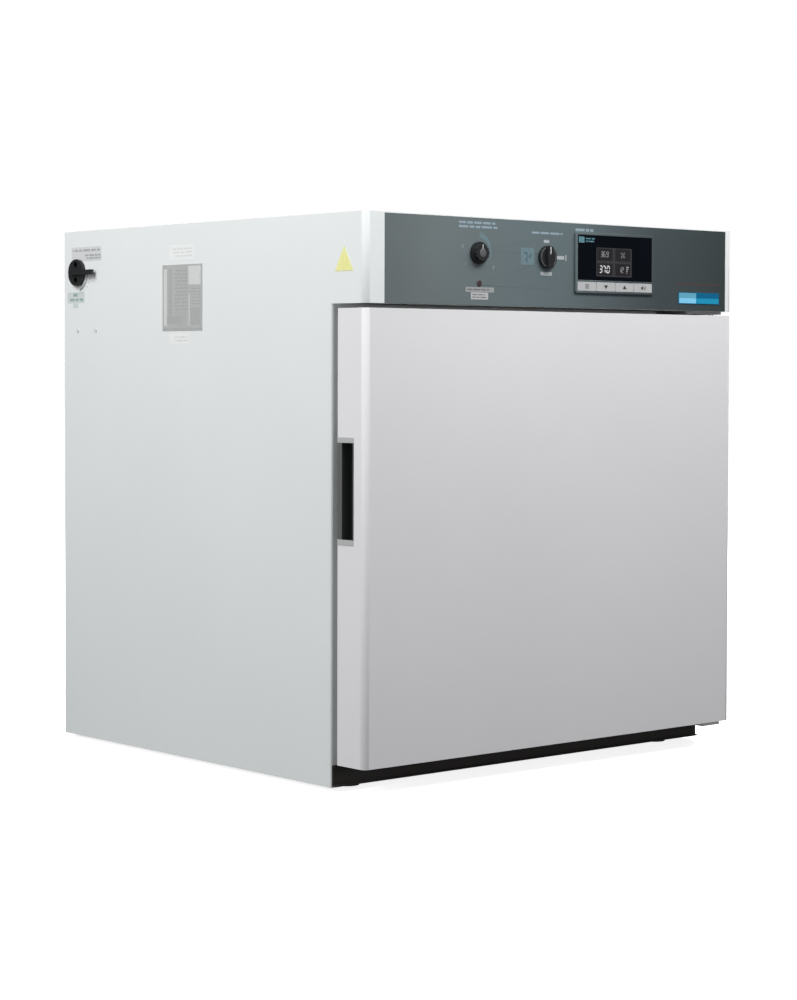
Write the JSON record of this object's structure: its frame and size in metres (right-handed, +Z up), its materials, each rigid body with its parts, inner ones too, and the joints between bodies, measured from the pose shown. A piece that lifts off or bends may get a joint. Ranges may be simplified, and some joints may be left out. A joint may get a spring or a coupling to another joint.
{
  "type": "laboratory incubator",
  "caption": "Bench-top laboratory incubator: white sheet-metal cabinet, overhanging grey control head, insulated side-hinged door, inner glass door, shelves and a fan-driven air duct.",
  "frame": {"origin": "on the floor under the middle of the overall envelope", "axes": "+Z up, the door and the controls face -Y, +X to the right when seen from the front"},
  "size_m": [0.8154, 0.8154, 0.866],
  "materials": {
    "cabinet_paint": "satin",
    "door_paint": "satin",
    "door_liner_paint": "satin",
    "base_steel": "satin",
    "black_paint": "satin",
    "foot_rubber": "matte",
    "stainless": "satin",
    "glass_wool": "matte",
    "fan_steel": "satin",
    "motor_paint": "satin",
    "heater_sheath": "matte",
    "clear_glass": "gloss",
    "seal_grey": "matte",
    "black_plastic": "satin",
    "nylon": "satin",
    "pin_steel": "satin",
    "hinge_paint": "satin",
    "fascia_grey": "satin",
    "display_window": "gloss",
    "display_board": "matte",
    "key_silver": "satin",
    "thermostat_plastic": "matte",
    "lamp_red": "gloss",
    "badge_blue": "gloss",
    "circuit_board": "satin",
    "supply_case": "satin",
    "label_metal": "matte",
    "label_yellow": "satin"
  },
  "bodies": {
    "cabinet": {"side_panel_left": "cabinet_paint", "side_panel_right": "cabinet_paint", "top_cover": "cabinet_paint", "rear_panel": "cabinet_paint", "base_pan": "base_steel", "toe_kick": "black_paint", "feet": "foot_rubber", "front_frame": "cabinet_paint", "chamber_liner": "stainless", "insulation_batts": "glass_wool", "rear_bulkhead": "base_steel", "electronics_deck": "cabinet_paint", "duct_baffle": "stainless", "fan_motor": "motor_paint", "motor_bracket": "base_steel", "heater_element": "heater_sheath", "shelf_uprights": "stainless", "shelf_clips": "stainless", "glass_hinge_posts": "stainless", "glass_gasket": "seal_grey", "glass_catch": "black_plastic", "hinge_pins": "pin_steel", "hinge_bracket_top": "hinge_paint", "hinge_bracket_bottom": "hinge_paint", "control_fascia": "fascia_grey", "display_bezel": "black_plastic", "display_glass": "display_window", "display_module": "display_board", "limit_thermostat": "thermostat_plastic", "power_switch_body": "black_plastic", "pilot_lamp": "lamp_red", "badge_plate": "badge_blue", "control_board": "circuit_board", "power_supply": "supply_case", "mains_inlet": "black_plastic", "chamber_probes": "stainless", "data_plate": "label_metal", "warning_sticker": "label_yellow", "vent_duct": "black_plastic", "panel_screws": "pin_steel"},
    "door": {"door_skin": "door_paint", "door_inner_panel": "door_liner_paint", "door_insulation": "glass_wool", "door_gasket": "seal_grey", "handle_cup": "black_plastic", "hinge_bushes": "nylon"},
    "glass_door": {"glass_pane": "clear_glass", "glass_hinge_leaves": "stainless", "glass_pull_knob": "black_plastic"},
    "lower_shelf": {"shelf_lower": "stainless"},
    "middle_shelf": {"shelf_middle": "stainless"},
    "upper_shelf": {"shelf_upper": "stainless"},
    "fan": {"fan_rotor": "fan_steel"},
    "limit_dial": {"limit_knob": "black_plastic"},
    "power_switch": {"power_knob": "black_plastic"},
    "menu_key": {"key_menu": "key_silver"},
    "down_key": {"key_down": "key_silver"},
    "up_key": {"key_up": "key_silver"},
    "mute_key": {"key_mute": "key_silver"},
    "vent_shutter": {"vent_damper": "black_plastic"}
  },
  "joints": [
    {"name": "door_hinge", "type": "hinge", "parent": "cabinet", "child": "door", "pos_m": [0.3778, -0.3767, 0.042], "axis": [0, 0, 1], "range_deg": [0, 110]},
    {"name": "glass_door_hinge", "type": "hinge", "parent": "cabinet", "child": "glass_door", "pos_m": [0.2988, -0.3112, 0.088], "axis": [0, 0, 1], "range_deg": [0, 100]},
    {"name": "lower_shelf_slide", "type": "slide", "parent": "cabinet", "child": "lower_shelf", "axis": [0, -1, 0], "range_m": [0, 0.014]},
    {"name": "middle_shelf_slide", "type": "slide", "parent": "cabinet", "child": "middle_shelf", "axis": [0, -1, 0], "range_m": [0, 0.014]},
    {"name": "upper_shelf_slide", "type": "slide", "parent": "cabinet", "child": "upper_shelf", "axis": [0, -1, 0], "range_m": [0, 0.014]},
    {"name": "fan_spin", "type": "hinge", "parent": "cabinet", "child": "fan", "pos_m": [0.0048, 0.2233, 0.3855], "axis": [0, 1, 0], "continuous": true},
    {"name": "limit_dial_turn", "type": "hinge", "parent": "cabinet", "child": "limit_dial", "pos_m": [-0.1722, -0.3967, 0.811], "axis": [0, -1, 0], "range_deg": [-135, 135]},
    {"name": "power_switch_turn", "type": "hinge", "parent": "cabinet", "child": "power_switch", "pos_m": [-0.0272, -0.3967, 0.809], "axis": [0, -1, 0], "range_deg": [0, 90]},
    {"name": "menu_key_press", "type": "slide", "parent": "cabinet", "child": "menu_key", "axis": [0, 1, 0], "range_m": [0, 0.0012], "stiffness_N_per_m": 400, "springref_m": -0.0005},
    {"name": "down_key_press", "type": "slide", "parent": "cabinet", "child": "down_key", "axis": [0, 1, 0], "range_m": [0, 0.0012], "stiffness_N_per_m": 400, "springref_m": -0.0005},
    {"name": "up_key_press", "type": "slide", "parent": "cabinet", "child": "up_key", "axis": [0, 1, 0], "range_m": [0, 0.0012], "stiffness_N_per_m": 400, "springref_m": -0.0005},
    {"name": "mute_key_press", "type": "slide", "parent": "cabinet", "child": "mute_key", "axis": [0, 1, 0], "range_m": [0, 0.0012], "stiffness_N_per_m": 400, "springref_m": -0.0005},
    {"name": "vent_shutter_turn", "type": "hinge", "parent": "cabinet", "child": "vent_shutter", "pos_m": [-0.3972, 0.3633, 0.796], "axis": [-1, 0, 0], "range_deg": [0, 90]}
  ],
  "couplings": [
    {"joint": "glass_door_hinge", "follows": "door_hinge", "ratio": 0.9}
  ]
}
